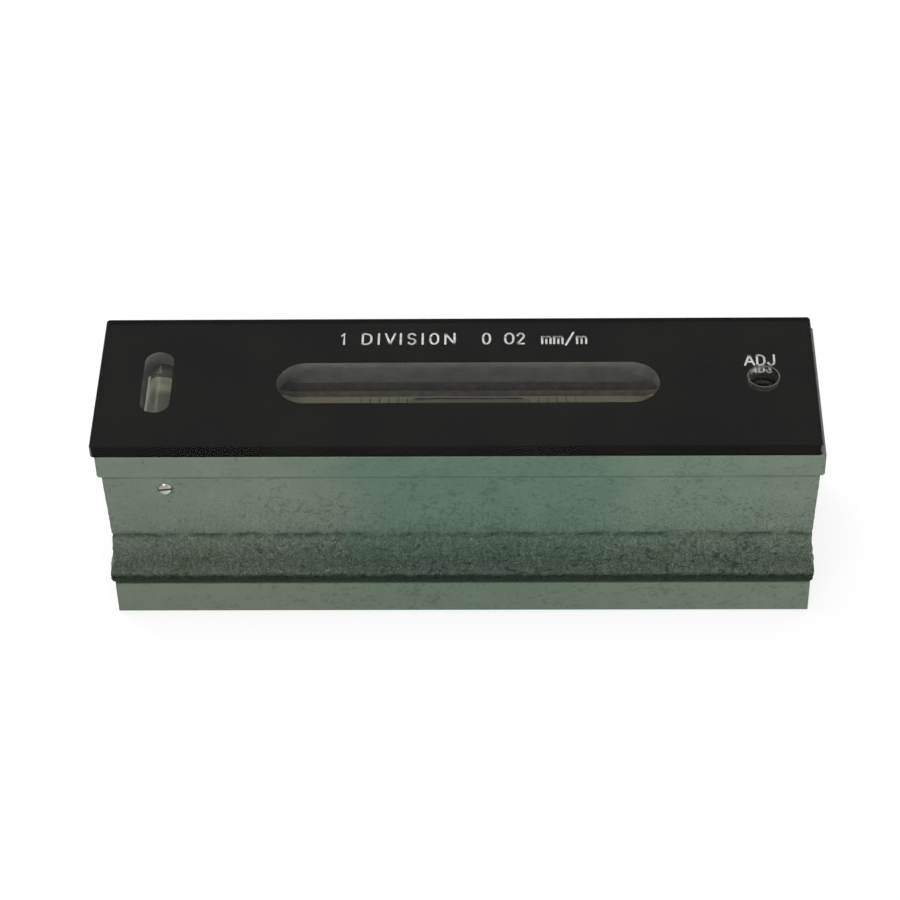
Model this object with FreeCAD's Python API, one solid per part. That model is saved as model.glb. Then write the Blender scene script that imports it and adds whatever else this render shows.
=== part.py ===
import FreeCAD, Part
import math
import os

# Precision block level with a 150 mm base. Millimetres, +X along the base, +Y to the back, +Z up.
# The origin is the middle of the ground base.

# ---- base casting ----
base_length = 150.0
base_width = 44.0
base_side_height = 9.25       # machined side of the base
base_edge_chamfer = 0.5
groove_width = 22.0           # V-groove that seats the level on round bars
groove_angle = 120.0
groove_relief_width = 2.0
groove_relief_depth = 1.2
bead_proud = 0.9              # cast bead left standing above the machined side
bead_height = 5.9
end_bead_proud = 0.8         # the same bead across each end
end_draft = 0.5              # ends lean out by this from the foot of the waist to its top
flare_height = 5.6            # slope from the bead up to the waist
waist_inset = 3.2             # waist set in from each side of the base
casting_height = 39.45

# ---- top plate ----
top_plate_thickness = 5.65
plate_side_overhang = 1.4     # past each side of the waist
plate_end_overhang = 1.1      # past each end of the base
plate_corner = 0.5
top_plate_chamfer = 0.3
relief_gap = 0.9              # over the carrier, in the underside
relief_end_gap = 3.0

# ---- cover: printed mask and clear plate ----
mask_thickness = 0.1
cover_thickness = 2.8
cover_side_inset = 0.2        # set back from the top plate's long edges
cover_right_inset = 0.8       # the cover is cemented a little to the left
cover_left_overhang = 0.85
cover_chamfer = 0.15

# ---- windows in the mask ----
window_end_cover = 4.25       # of the main vial hidden at each end
window_width = 12.65
cross_window_shift_x = -0.7   # from the cross vial's middle
cross_window_shift_y = 1.05
cross_window_width = 6.3
cross_window_length = 19.0

# ---- line of the main vial ----
mech_y = 1.1
vial_drop = 5.2               # axis below the top of the casting
pivot_inset = 12.7            # from the left end of the base
adj_inset = 10.8              # adjusting screw from the right end of the base

# ---- main vial ----
vial_radius = 5.0
vial_wall = 1.3
vial_end_gap = 0.5            # between the vial and the block at each end
vial_disc_thickness = 2.0
bubble_length = 26.0
bubble_drop = 1.2             # depth of the bubble under the crown of the bore
liquid_gap = 0.05             # between a bubble and what is round it

# ---- carrier ----
carrier_bore_gap = 0.4        # packing space round the vial
carrier_wall = 1.0
carrier_from_pivot = 12.4
carrier_from_adj = 11.1
carrier_slot_width = 10.4
carrier_slot_margin = 1.5     # slot longer than the window, each end
packing_length = 4.5
block_spigot_length = 6.0
stub_radius = 2.6
stub_reach = 3.6              # stub past the pivot
tongue_width = 9.0
tongue_thickness = 5.0
tongue_reach = 5.5            # tongue past the adjusting screw

# ---- pocket in the casting ----
pocket_gap = 1.6              # round the carrier
pocket_end_gap = 4.5          # clear of the carrier's pivot end
pocket_past_tongue = 2.5
stub_slot_gap = 0.6

# ---- pivot screws ----
pivot_screw_radius = 1.5
pivot_point_radius = 1.0
pivot_point_depth = 1.8
pivot_fit = 0.05
pivot_mouth = 0.45            # countersink round the screw in the waist
screw_slot_width = 0.5
screw_slot_depth = 0.8
screw_slot_tilt = -8.0
screw_sunk = 0.15             # end of the screw below the waist face
screw_chamfer = 0.25
thread_fit = 0.03

# ---- adjusting screw ----
adj_head_radius = 3.0
adj_head_chamfer = 0.4
adj_hole_gap = 0.25           # hole in the cover for the key, larger than the head
adj_head_sunk = 0.5           # head below the top plate's face
adj_collar_radius = 4.2
adj_collar_thickness = 1.2
adj_shank_radius = 2.0
adj_shank_reach = 6.7         # shank below the main vial's axis
hex_across_flats = 3.0
hex_depth = 2.6
adj_fit = 0.05
nut_fit = 0.08
collar_gap = 0.3
bush_length = 5.0

# ---- lifting spring ----
spring_wire = 0.9             # square wire
spring_shank_gap = 0.7
spring_length = 11.65
spring_coils = 5.0
spring_steps = 12             # straight stretches of wire in a turn
spring_gap = 0.05

# ---- cross vial ----
cross_inset = 11.1            # from the left end of the base
cross_y = 0.5
cross_rise = 1.4              # axis above the top of the casting
cross_radius = 2.9
cross_wall = 0.8
cross_length = 17.0
cross_disc_thickness = 1.2
cross_bubble_length = 8.5
cross_bubble_drop = 0.8

# ---- cross vial holder ----
holder_wall = 0.6
holder_trough_length = 15.0
holder_foot_length = 5.5
holder_seat_gap = 0.3
holder_clamp_gap = 0.02       # under the top plate, which holds the feet down
holder_bed_gap = 0.3          # at each end of the cross vial
cross_slot_gap = 0.3
cross_slot_front = 11.5       # front end of the slot from the cross vial's middle

# ---- top plate screws ----
plate_screw_inset = 25.0      # from each end of the base
plate_screw_edge = 6.1        # from the side of the top plate
plate_screw_radius = 1.5
plate_screw_head_radius = 2.7
plate_screw_head_height = 2.0
plate_screw_sunk = 0.1
plate_screw_gap = 0.15        # round the head in its counterbore
plate_screw_length = 11.0

# ---- worked out from the values above ----
base_left = -base_length / 2
base_right = base_length / 2
waist_width = base_width - 2 * waist_inset
plate_bottom = casting_height
plate_top = plate_bottom + top_plate_thickness
mask_top = plate_top + mask_thickness
cover_top = mask_top + cover_thickness
top_plate_length = base_length + 2 * plate_end_overhang
top_plate_width = waist_width + 2 * plate_side_overhang
cover_left = -top_plate_length / 2 - cover_left_overhang
cover_right = top_plate_length / 2 - cover_right_inset
cover_width = top_plate_width - 2 * cover_side_inset
vial_z = casting_height - vial_drop
pivot_x = base_left + pivot_inset
adj_x = base_right - adj_inset
carrier_left = pivot_x + carrier_from_pivot
carrier_right = adj_x - carrier_from_adj
carrier_length = carrier_right - carrier_left
carrier_inner = vial_radius + carrier_bore_gap
carrier_outer = carrier_inner + carrier_wall
vial_left = carrier_left + block_spigot_length + vial_end_gap
vial_right = carrier_right - block_spigot_length - vial_end_gap
vial_mid = (vial_left + vial_right) / 2
vial_bore = vial_radius - vial_wall
window_length = vial_right - vial_left - 2 * window_end_cover
pocket_radius = carrier_outer + pocket_gap
pocket_left = carrier_left - pocket_end_gap
tongue_end = adj_x + tongue_reach
pocket_right = tongue_end + pocket_past_tongue
stub_end = pivot_x - stub_reach
cross_x = base_left + cross_inset
cross_z = casting_height + cross_rise
cross_bore = cross_radius - cross_wall
trough_outer = cross_radius + holder_wall
holder_seat_z = cross_z - trough_outer
holder_length = holder_trough_length + 2 * holder_foot_length
cross_window_x = cross_x + cross_window_shift_x
cross_window_y = cross_y + cross_window_shift_y
waist_bottom = base_side_height + bead_height + flare_height
bush_radius = adj_collar_radius + collar_gap
bush_bottom = plate_top - bush_length
adj_hole_radius = adj_head_radius + adj_hole_gap
spring_radius = adj_shank_radius + spring_shank_gap + spring_wire
spring_top = vial_z - tongue_thickness / 2 - spring_gap
spring_seat_z = spring_top - spring_length
plate_screw_x = base_right - plate_screw_inset
plate_screw_y = top_plate_width / 2 - plate_screw_edge

X = FreeCAD.Vector(1, 0, 0)
Y = FreeCAD.Vector(0, 1, 0)
Z = FreeCAD.Vector(0, 0, 1)


def vec(x, y, z):
    return FreeCAD.Vector(x, y, z)


def box(x0, x1, y0, y1, z0, z1):
    return Part.makeBox(x1 - x0, y1 - y0, z1 - z0, vec(x0, y0, z0))


def rod(radius, start, direction, length):
    return Part.makeCylinder(radius, length, start, direction)


def rod_x(radius, x0, x1, y, z):
    return rod(radius, vec(x0, y, z), X, x1 - x0)


def rod_y(radius, y0, y1, x, z):
    return rod(radius, vec(x, y0, z), Y, y1 - y0)


def rod_z(radius, z0, z1, x, y):
    return rod(radius, vec(x, y, z0), Z, z1 - z0)


def turned(points, axis_start, axis_direction, radial):
    """Solid of revolution from (along, radius) points."""
    corners = [axis_start + axis_direction * along + radial * radius for along, radius in points]
    wire = Part.makePolygon(corners + [corners[0]])
    return Part.Face(wire).revolve(axis_start, axis_direction, 360)


def slot_prism(x_mid, y_mid, length_x, length_y, z0, z1):
    """Prism with full-round ends on its longer side."""
    radius = min(length_x, length_y) / 2
    half_x = length_x / 2 - radius
    half_y = length_y / 2 - radius
    height = z1 - z0
    if half_x > half_y:
        ends = [vec(x_mid - half_x, y_mid, z0), vec(x_mid + half_x, y_mid, z0)]
        middle = box(x_mid - half_x, x_mid + half_x, y_mid - radius, y_mid + radius, z0, z1)
    else:
        ends = [vec(x_mid, y_mid - half_y, z0), vec(x_mid, y_mid + half_y, z0)]
        middle = box(x_mid - radius, x_mid + radius, y_mid - half_y, y_mid + half_y, z0, z1)
    rounds = [Part.makeCylinder(radius, height, end) for end in ends]
    return middle.fuse(rounds).removeSplitter()


def hex_prism(across_flats, z0, z1, x, y):
    reach = across_flats / math.sqrt(3)
    corners = [vec(x + reach * math.cos(math.radians(60 * k)), y + reach * math.sin(math.radians(60 * k)), z0)
               for k in range(7)]
    return Part.Face(Part.makePolygon(corners)).extrude(Z * (z1 - z0))


def plate(left, right, width, z0, z1):
    """Flat plate with its four upright corners broken."""
    solid = box(left, right, -width / 2, width / 2, z0, z1)
    upright = [edge for edge in solid.Edges if abs(edge.tangentAt(edge.FirstParameter).z) > 0.9]
    return solid.makeChamfer(plate_corner, upright)


def top_edges(solid, height):
    return [edge for edge in solid.Edges
            if abs(edge.BoundBox.ZMin - height) < 0.001 and abs(edge.BoundBox.ZMax - height) < 0.001]


def save(name, solid):
    solid.exportStep("parts/" + name + ".step")
    print(name, len(solid.Solids), round(solid.Volume, 1), solid.isValid())


# ---- base casting ----
def casting_profile():
    """Section across the level, in a YZ plane past the left end."""
    x = base_left - plate_end_overhang
    half = base_width / 2
    groove_half = groove_width / 2
    relief_half = groove_relief_width / 2
    slope = math.tan(math.radians(groove_angle / 2))
    relief_z = (groove_half - relief_half) / slope
    relief_top = relief_z + groove_relief_depth
    bead_mid = base_side_height + bead_height / 2
    bead_top = base_side_height + bead_height
    waist = waist_width / 2

    def edges(side):
        low = [vec(x, side * relief_half, relief_top), vec(x, side * relief_half, relief_z),
               vec(x, side * groove_half, 0), vec(x, side * (half - base_edge_chamfer), 0),
               vec(x, side * half, base_edge_chamfer), vec(x, side * half, base_side_height)]
        lines = [Part.makeLine(a, b) for a, b in zip(low[:-1], low[1:])]
        bead = Part.Arc(low[-1], vec(x, side * (half + bead_proud), bead_mid), vec(x, side * half, bead_top))
        waist_foot = vec(x, side * waist, waist_bottom)
        flare = Part.makeLine(vec(x, side * half, bead_top), waist_foot)
        wall = Part.makeLine(waist_foot, vec(x, side * waist, casting_height))
        return lines + [bead.toShape(), flare, wall]

    top = Part.makeLine(vec(x, waist, casting_height), vec(x, -waist, casting_height))
    roof = Part.makeLine(vec(x, -relief_half, relief_top), vec(x, relief_half, relief_top))
    wire = Part.Wire(Part.__sortEdges__(edges(1) + [top] + edges(-1) + [roof]))
    return Part.Face(wire)


def casting_ends():
    """Block across the level with the bead and the lean of both ends."""
    y = -base_width
    bead_mid = base_side_height + bead_height / 2
    bead_top = base_side_height + bead_height

    def edges(side):
        end = side * base_right
        low = [vec(end, y, 0), vec(end, y, base_side_height)]
        high = [vec(end, y, bead_top), vec(end, y, waist_bottom), vec(end + side * end_draft, y, casting_height)]
        bead = Part.Arc(low[-1], vec(end + side * end_bead_proud, y, bead_mid), high[0])
        lines = [Part.makeLine(a, b) for a, b in zip(low[:-1] + high[:-1], low[1:] + high[1:])]
        return lines + [bead.toShape()]

    foot = Part.makeLine(vec(base_left, y, 0), vec(base_right, y, 0))
    top_left = vec(base_left - end_draft, y, casting_height)
    top = Part.makeLine(top_left, vec(base_right + end_draft, y, casting_height))
    wire = Part.Wire(Part.__sortEdges__(edges(1) + [top] + edges(-1) + [foot]))
    return Part.Face(wire).extrude(Y * (2 * base_width))


def carrier_pocket():
    """Round-bottomed trough that is open at the top of the casting."""
    trough = rod_x(pocket_radius, pocket_left, pocket_right, mech_y, vial_z)
    above = box(pocket_left, pocket_right, mech_y - pocket_radius, mech_y + pocket_radius,
                vial_z, casting_height + 1)
    stub_half = stub_radius + stub_slot_gap
    stub_slot = box(stub_end - stub_slot_gap * 2, pocket_left + 1, mech_y - stub_half, mech_y + stub_half,
                    vial_z - stub_half, casting_height + 1)
    spring_hole = rod_z(bush_radius, spring_seat_z, vial_z, adj_x, mech_y)
    return trough.fuse([above, stub_slot, spring_hole])


def holder_recess():
    half_x = trough_outer + holder_seat_gap
    half_y = holder_length / 2 + holder_seat_gap
    return box(cross_x - half_x, cross_x + half_x, cross_y - half_y, cross_y + half_y,
               holder_seat_z, casting_height + 1)


def plate_screw_places():
    return [(side_x * plate_screw_x, side_y * plate_screw_y) for side_x in (-1, 1) for side_y in (-1, 1)]


def make_body_casting():
    body = casting_profile().extrude(X * top_plate_length).common(casting_ends())
    cuts = [carrier_pocket(), holder_recess()]
    hole = pivot_screw_radius + thread_fit
    cuts.append(rod_y(hole, -waist_width, waist_width, pivot_x, vial_z))
    for side in (-1, 1):
        mouth = vec(pivot_x, side * waist_width / 2, vial_z)
        cone = [(0, 0), (0, hole + pivot_mouth), (pivot_mouth, hole), (pivot_mouth, 0)]
        cuts.append(turned(cone, mouth, Y * -side, X))
    for x, y in plate_screw_places():
        bottom = plate_top - plate_screw_length - thread_fit
        cuts.append(rod_z(plate_screw_radius + thread_fit, bottom, casting_height + 1, x, y))
    return body.cut(cuts)


# ---- top plate and its screws ----
def make_top_plate():
    body = plate(-top_plate_length / 2, top_plate_length / 2, top_plate_width, plate_bottom, plate_top)
    body = body.makeChamfer(top_plate_chamfer, top_edges(body, plate_top))
    window = slot_prism(vial_mid, mech_y, window_length, window_width, plate_bottom - 1, plate_top + 1)
    relief_length = carrier_length + 2 * relief_end_gap
    relief_mid = (carrier_left + carrier_right) / 2
    relief_top = vial_z + carrier_outer + relief_gap
    relief = slot_prism(relief_mid, mech_y, relief_length, window_width, plate_bottom - 1, relief_top)
    slot_back = cross_window_y + cross_window_length / 2
    slot_front = cross_y - cross_slot_front
    slot_width = 2 * (trough_outer + cross_slot_gap)
    cross_slot = slot_prism(cross_x, (slot_back + slot_front) / 2, slot_width, slot_back - slot_front,
                            plate_bottom - 1, plate_top + 1)
    bush_hole = rod_z(bush_radius, plate_bottom - 1, plate_top + 1, adj_x, mech_y)
    cuts = [window, relief, cross_slot, bush_hole]
    for x, y in plate_screw_places():
        counterbore = plate_top - plate_screw_sunk - plate_screw_head_height
        cuts.append(rod_z(plate_screw_radius + thread_fit, plate_bottom - 1, plate_top, x, y))
        cuts.append(rod_z(plate_screw_head_radius + plate_screw_gap, counterbore, plate_top + 1, x, y))
    return body.cut(cuts)


def make_top_plate_screws():
    """Four cheese-head screws."""
    screws = []
    head_top = plate_top - plate_screw_sunk
    head_bottom = head_top - plate_screw_head_height
    for x, y in plate_screw_places():
        shank = rod_z(plate_screw_radius, plate_top - plate_screw_length, head_bottom, x, y)
        head = rod_z(plate_screw_head_radius, head_bottom, head_top, x, y)
        half = screw_slot_width / 2
        reach = plate_screw_head_radius
        slot = box(x - reach, x + reach, y - half, y + half, head_top - screw_slot_depth, head_top + 1)
        screws.append(shank.fuse(head).cut(slot))
    return Part.makeCompound(screws)


# ---- cover ----
def cover_openings(z0, z1):
    return rod_z(adj_hole_radius, z0, z1, adj_x, mech_y)


def make_cover_mask():
    film = plate(cover_left, cover_right, cover_width, plate_top, mask_top)
    low = plate_top - 1
    high = mask_top + 1
    window = slot_prism(vial_mid, mech_y, window_length, window_width, low, high)
    cross = slot_prism(cross_window_x, cross_window_y, cross_window_width, cross_window_length, low, high)
    return film.cut([window, cross, cover_openings(low, high)])


def make_cover_plate():
    sheet = plate(cover_left, cover_right, cover_width, mask_top, cover_top)
    sheet = sheet.makeChamfer(cover_chamfer, top_edges(sheet, cover_top))
    return sheet.cut(cover_openings(mask_top - 1, cover_top + 1))


# ---- main vial ----
def bubble_shape(x, y, z, bore, length, drop, along_x, gap):
    """Long bubble under the crown of a vial's bore; gap grows it into the space it takes up."""
    flat = z + bore - drop - gap
    half_chord = math.sqrt(bore ** 2 - (bore - drop) ** 2) + gap
    if along_x:
        around = rod_x(bore - liquid_gap + gap, x - length, x + length, y, z)
        plan = slot_prism(x, y, length + 2 * gap, 2 * half_chord, flat, z + bore + 1)
    else:
        around = rod_y(bore - liquid_gap + gap, y - length, y + length, x, z)
        plan = slot_prism(x, y, 2 * half_chord, length + 2 * gap, flat, z + bore + 1)
    return around.common(plan)


def make_main_vial():
    glass = rod_x(vial_radius, vial_left, vial_right, mech_y, vial_z)
    return glass.cut(rod_x(vial_bore, vial_left - 1, vial_right + 1, mech_y, vial_z))


def make_main_vial_discs():
    """The glass discs cemented in the two ends."""
    starts = [vial_left, vial_right - vial_disc_thickness]
    return Part.makeCompound([rod_x(vial_bore, x, x + vial_disc_thickness, mech_y, vial_z) for x in starts])


def make_main_bubble(gap=0.0):
    return bubble_shape(vial_mid, mech_y, vial_z, vial_bore, bubble_length, bubble_drop, True, gap)


def make_main_liquid():
    column = rod_x(vial_bore, vial_left + vial_disc_thickness, vial_right - vial_disc_thickness, mech_y, vial_z)
    return column.cut(make_main_bubble(liquid_gap))


def make_vial_packings():
    """Set rings that hold the vial in its tube, between the end blocks and the slot."""
    rings = []
    for x in (carrier_left + block_spigot_length, carrier_right - block_spigot_length - packing_length):
        ring = rod_x(carrier_inner, x, x + packing_length, mech_y, vial_z)
        rings.append(ring.cut(rod_x(vial_radius, x - 1, x + packing_length + 1, mech_y, vial_z)))
    return Part.makeCompound(rings)


# ---- carrier ----
def make_vial_carrier():
    tube = rod_x(carrier_outer, carrier_left, carrier_right, mech_y, vial_z)
    bore = rod_x(carrier_inner, carrier_left - 1, carrier_right + 1, mech_y, vial_z)
    slot_length = window_length + 2 * carrier_slot_margin
    slot = slot_prism(vial_mid, mech_y, slot_length, carrier_slot_width, vial_z, vial_z + carrier_outer + 1)
    return tube.cut([bore, slot])


def make_pivot_block():
    """Turned plug for the tube's left end, with a stub that takes the pivot points."""
    spigot = rod_x(carrier_inner, carrier_left, carrier_left + block_spigot_length, mech_y, vial_z)
    stub = rod_x(stub_radius, stub_end, carrier_left + block_spigot_length, mech_y, vial_z)
    hole = pivot_point_radius + pivot_fit
    return spigot.fuse(stub).cut(rod_y(hole, mech_y - carrier_outer, mech_y + carrier_outer, pivot_x, vial_z))


def make_adjusting_block():
    """Plug for the tube's right end, with a tapped tongue round the adjusting screw."""
    spigot = rod_x(carrier_inner, carrier_right - block_spigot_length, carrier_right, mech_y, vial_z)
    half = tongue_width / 2
    low = vial_z - tongue_thickness / 2
    high = vial_z + tongue_thickness / 2
    tongue = box(carrier_right - block_spigot_length / 2, tongue_end, mech_y - half, mech_y + half, low, high)
    corners = [edge for edge in tongue.Edges
               if abs(edge.BoundBox.XMin - tongue_end) < 0.001 and edge.BoundBox.ZLength > 1]
    tongue = tongue.makeFillet(half / 2, corners)
    nut = rod_z(adj_shank_radius + nut_fit, low - 1, high + 1, adj_x, mech_y)
    return spigot.fuse(tongue).cut(nut)


# ---- pivot screws ----
def make_pivot_screw(side):
    """Slotted screw with a plain round point; side is -1 at the front and 1 at the back."""
    outer = waist_width / 2 - screw_sunk
    shoulder = stub_radius + stub_slot_gap + side * mech_y
    point_end = stub_radius - pivot_point_depth + side * mech_y
    points = [(outer, 0), (outer, pivot_screw_radius - screw_chamfer), (outer - screw_chamfer, pivot_screw_radius),
              (shoulder, pivot_screw_radius), (shoulder, pivot_point_radius), (point_end, pivot_point_radius),
              (point_end, 0)]
    screw = turned(points, vec(pivot_x, 0, vial_z), Y * side, X)
    half = screw_slot_width / 2
    reach = pivot_screw_radius + 1
    slot = Part.makeBox(2 * reach, screw_slot_depth + 1, 2 * half, vec(-reach, outer - screw_slot_depth, -half))
    slot.rotate(vec(0, 0, 0), Y, screw_slot_tilt)
    slot.translate(vec(pivot_x, 0, vial_z))
    if side < 0:
        slot = slot.mirror(vec(0, 0, 0), Y)
    return screw.cut(slot)


# ---- adjusting screw, its bush and spring ----
def make_adj_screw():
    head_top = plate_top - adj_head_sunk
    collar_top = bush_bottom - adj_fit
    collar_bottom = collar_top - adj_collar_thickness
    shank_end = vial_z - adj_shank_reach
    points = [(shank_end, 0), (shank_end, adj_shank_radius), (collar_bottom, adj_shank_radius),
              (collar_bottom, adj_collar_radius), (collar_top, adj_collar_radius), (collar_top, adj_head_radius),
              (head_top - adj_head_chamfer, adj_head_radius), (head_top, adj_head_radius - adj_head_chamfer),
              (head_top, 0)]
    screw = turned(points, vec(adj_x, mech_y, 0), Z, X)
    return screw.cut(hex_prism(hex_across_flats, head_top - hex_depth, head_top + 1, adj_x, mech_y))


def make_adj_screw_bush():
    bush = rod_z(bush_radius, bush_bottom, plate_top, adj_x, mech_y)
    return bush.cut(rod_z(adj_head_radius + adj_fit, bush_bottom - 1, plate_top + 1, adj_x, mech_y))


def make_adj_spring():
    """Coil spring of square wire in flat-sided stretches, with both ends ground flat."""
    steps = round(spring_coils * spring_steps)
    rise = (spring_length + spring_wire) / steps
    inner = spring_radius - spring_wire
    sections = []
    for k in range(steps + 1):
        turn = math.radians(360 * k / spring_steps)
        outward = vec(math.cos(turn), math.sin(turn), 0)
        low = spring_seat_z - spring_wire + rise * k
        sections.append([outward * inner + Z * low, outward * spring_radius + Z * low,
                         outward * spring_radius + Z * (low + spring_wire), outward * inner + Z * (low + spring_wire)])
    outlines = [sections[0], sections[-1]]
    for near, far in zip(sections[:-1], sections[1:]):
        for side in range(4):
            after = (side + 1) % 4
            outlines.append([near[side], far[side], far[after]])
            outlines.append([near[side], far[after], near[after]])
    shell = Part.makeShell([Part.Face(Part.makePolygon(line + [line[0]])) for line in outlines])
    shell.sewShape()
    coil = Part.makeSolid(shell)
    coil.translate(vec(adj_x, mech_y, 0))
    block = rod_z(spring_radius + 1, spring_seat_z, spring_top, adj_x, mech_y)
    return block.common(coil)


# ---- cross vial ----
def make_cross_vial():
    front = cross_y - cross_length / 2
    back = cross_y + cross_length / 2
    glass = rod_y(cross_radius, front, back, cross_x, cross_z)
    return glass.cut(rod_y(cross_bore, front - 1, back + 1, cross_x, cross_z))


def make_cross_vial_discs():
    starts = [cross_y - cross_length / 2, cross_y + cross_length / 2 - cross_disc_thickness]
    return Part.makeCompound([rod_y(cross_bore, y, y + cross_disc_thickness, cross_x, cross_z) for y in starts])


def make_cross_bubble(gap=0.0):
    return bubble_shape(cross_x, cross_y, cross_z, cross_bore, cross_bubble_length, cross_bubble_drop, False, gap)


def make_cross_liquid():
    reach = cross_length / 2 - cross_disc_thickness
    column = rod_y(cross_bore, cross_y - reach, cross_y + reach, cross_x, cross_z)
    return column.cut(make_cross_bubble(liquid_gap))


def make_cross_vial_holder():
    """Half-round trough with a foot at each end that the top plate holds down."""
    half_trough = holder_trough_length / 2
    half_length = holder_length / 2
    trough = rod_y(trough_outer, cross_y - half_trough, cross_y + half_trough, cross_x, cross_z)
    above = box(cross_x - trough_outer, cross_x + trough_outer, cross_y - half_length, cross_y + half_length,
                cross_z, cross_z + trough_outer)
    feet = box(cross_x - trough_outer, cross_x + trough_outer, cross_y - half_length, cross_y + half_length,
               holder_seat_z, casting_height - holder_clamp_gap)
    bed_reach = cross_length / 2 + holder_bed_gap
    bed = rod_y(cross_radius, cross_y - bed_reach, cross_y + bed_reach, cross_x, cross_z)
    return trough.cut(above).fuse(feet).cut(bed)


os.makedirs("parts", exist_ok=True)
save("body_casting", make_body_casting())
save("top_plate", make_top_plate())
save("top_plate_screws", make_top_plate_screws())
save("cover_mask", make_cover_mask())
save("cover_plate", make_cover_plate())
save("main_vial", make_main_vial())
save("main_vial_discs", make_main_vial_discs())
save("main_liquid", make_main_liquid())
save("main_bubble", make_main_bubble())
save("vial_packings", make_vial_packings())
save("vial_carrier", make_vial_carrier())
save("pivot_block", make_pivot_block())
save("adjusting_block", make_adjusting_block())
save("front_pivot_screw", make_pivot_screw(-1))
save("rear_pivot_screw", make_pivot_screw(1))
save("adj_screw", make_adj_screw())
save("adj_screw_bush", make_adj_screw_bush())
save("adj_spring", make_adj_spring())
save("cross_vial", make_cross_vial())
save("cross_vial_discs", make_cross_vial_discs())
save("cross_liquid", make_cross_liquid())
save("cross_bubble", make_cross_bubble())
save("cross_vial_holder", make_cross_vial_holder())
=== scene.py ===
import math
import bmesh
import bpy
import numpy as np
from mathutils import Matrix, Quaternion, Vector


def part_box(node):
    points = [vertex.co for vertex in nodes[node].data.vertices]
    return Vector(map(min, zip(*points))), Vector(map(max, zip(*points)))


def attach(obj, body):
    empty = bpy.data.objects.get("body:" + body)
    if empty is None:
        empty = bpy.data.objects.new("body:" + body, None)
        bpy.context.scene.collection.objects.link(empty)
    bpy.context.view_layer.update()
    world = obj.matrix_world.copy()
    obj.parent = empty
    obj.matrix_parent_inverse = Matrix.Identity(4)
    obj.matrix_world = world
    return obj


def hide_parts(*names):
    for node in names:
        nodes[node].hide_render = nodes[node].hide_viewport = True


# Precision block level, 150 mm: the looks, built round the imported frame. Metres, Z up.

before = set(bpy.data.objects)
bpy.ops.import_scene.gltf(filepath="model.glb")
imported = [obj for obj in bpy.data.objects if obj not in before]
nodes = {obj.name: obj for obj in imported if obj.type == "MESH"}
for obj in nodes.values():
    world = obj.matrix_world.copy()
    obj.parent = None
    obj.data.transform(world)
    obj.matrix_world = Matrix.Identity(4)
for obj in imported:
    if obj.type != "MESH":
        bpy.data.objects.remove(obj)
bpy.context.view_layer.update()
mm = 0.001
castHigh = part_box("body_casting")[1]
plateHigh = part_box("top_plate")[1]
coverLow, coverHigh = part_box("cover_plate")
vialLow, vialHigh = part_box("main_vial")
crossLow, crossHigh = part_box("cross_vial")
print("frame loaded:", len(nodes), "nodes")


# ---------- small tools ----------
def linkObject(obj):
    bpy.context.scene.collection.objects.link(obj)
    return obj


def meshObject(name, points, faces):
    mesh = bpy.data.meshes.new(name)
    mesh.from_pydata([tuple(p) for p in points], [], faces)
    mesh.update()
    return linkObject(bpy.data.objects.new(name, mesh))


def tidyMesh(mesh, degrees, weld=0.0):
    # merges doubles, turns faces outwards and splits the shading at edges sharper than the angle
    work = bmesh.new()
    work.from_mesh(mesh)
    if weld:
        bmesh.ops.remove_doubles(work, verts=work.verts, dist=weld)
    bmesh.ops.recalc_face_normals(work, faces=work.faces)
    limit = math.radians(degrees)
    for face in work.faces:
        face.smooth = True
    for edge in work.edges:
        edge.smooth = len(edge.link_faces) == 2 and edge.calc_face_angle(0) < limit
    work.to_mesh(mesh)
    work.free()


def bakeModifiers(obj):
    # the evaluated result becomes the object's own mesh, and the modifiers go
    graph = bpy.context.evaluated_depsgraph_get()
    result = bpy.data.meshes.new_from_object(obj.evaluated_get(graph))
    obj.modifiers.clear()
    old = obj.data
    obj.data = result
    result.name = obj.name
    bpy.data.meshes.remove(old)
    return obj


def turnedSolid(name, profile, axis, centre, steps):
    # a closed turned form from (along, radius) points; radius 0 makes a pole
    along = Vector((axis == "x", axis == "y", axis == "z"))
    side = Vector((0, 1, 0)) if axis == "x" else Vector((1, 0, 0))
    third = along.cross(side)
    points, rings = [], []
    for distance, radius in profile:
        if radius == 0:
            rings.append([len(points)])
            points.append(centre + along * distance)
            continue
        rings.append(list(range(len(points), len(points) + steps)))
        for k in range(steps):
            turn = 2 * math.pi * k / steps
            points.append(centre + along * distance + (side * math.cos(turn) + third * math.sin(turn)) * radius)
    faces = []
    closed = profile[0][1] != 0
    pairs = list(zip(rings, rings[1:] + rings[:1])) if closed else list(zip(rings[:-1], rings[1:]))
    for near, far in pairs:
        for k in range(steps):
            after = (k + 1) % steps
            if len(near) == 1:
                faces.append((near[0], far[k], far[after]))
            elif len(far) == 1:
                faces.append((near[k], near[after], far[0]))
            else:
                faces.append((near[k], near[after], far[after], far[k]))
    obj = meshObject(name, points, faces)
    tidyMesh(obj.data, 40)
    return obj


def copyOfNode(name, node):
    obj = linkObject(bpy.data.objects.new(name, nodes[node].data.copy()))
    tidyMesh(obj.data, 30, 2e-6)
    obj.data.materials.clear()
    return obj


# ---------- node trees ----------
def addNode(tree, kind, inputs=None, **settings):
    node = tree.nodes.new(kind)
    for key, value in settings.items():
        setattr(node, key, value)
    for key, value in (inputs or {}).items():
        if isinstance(value, bpy.types.NodeSocket):
            tree.links.new(value, node.inputs[key])
        else:
            node.inputs[key].default_value = value
    return node


def math2(tree, operation, a, b=0.0, c=0.0, clamp=False):
    kind = "ShaderNodeMath"
    return addNode(tree, kind, {0: a, 1: b, 2: c}, operation=operation, use_clamp=clamp).outputs[0]


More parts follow.
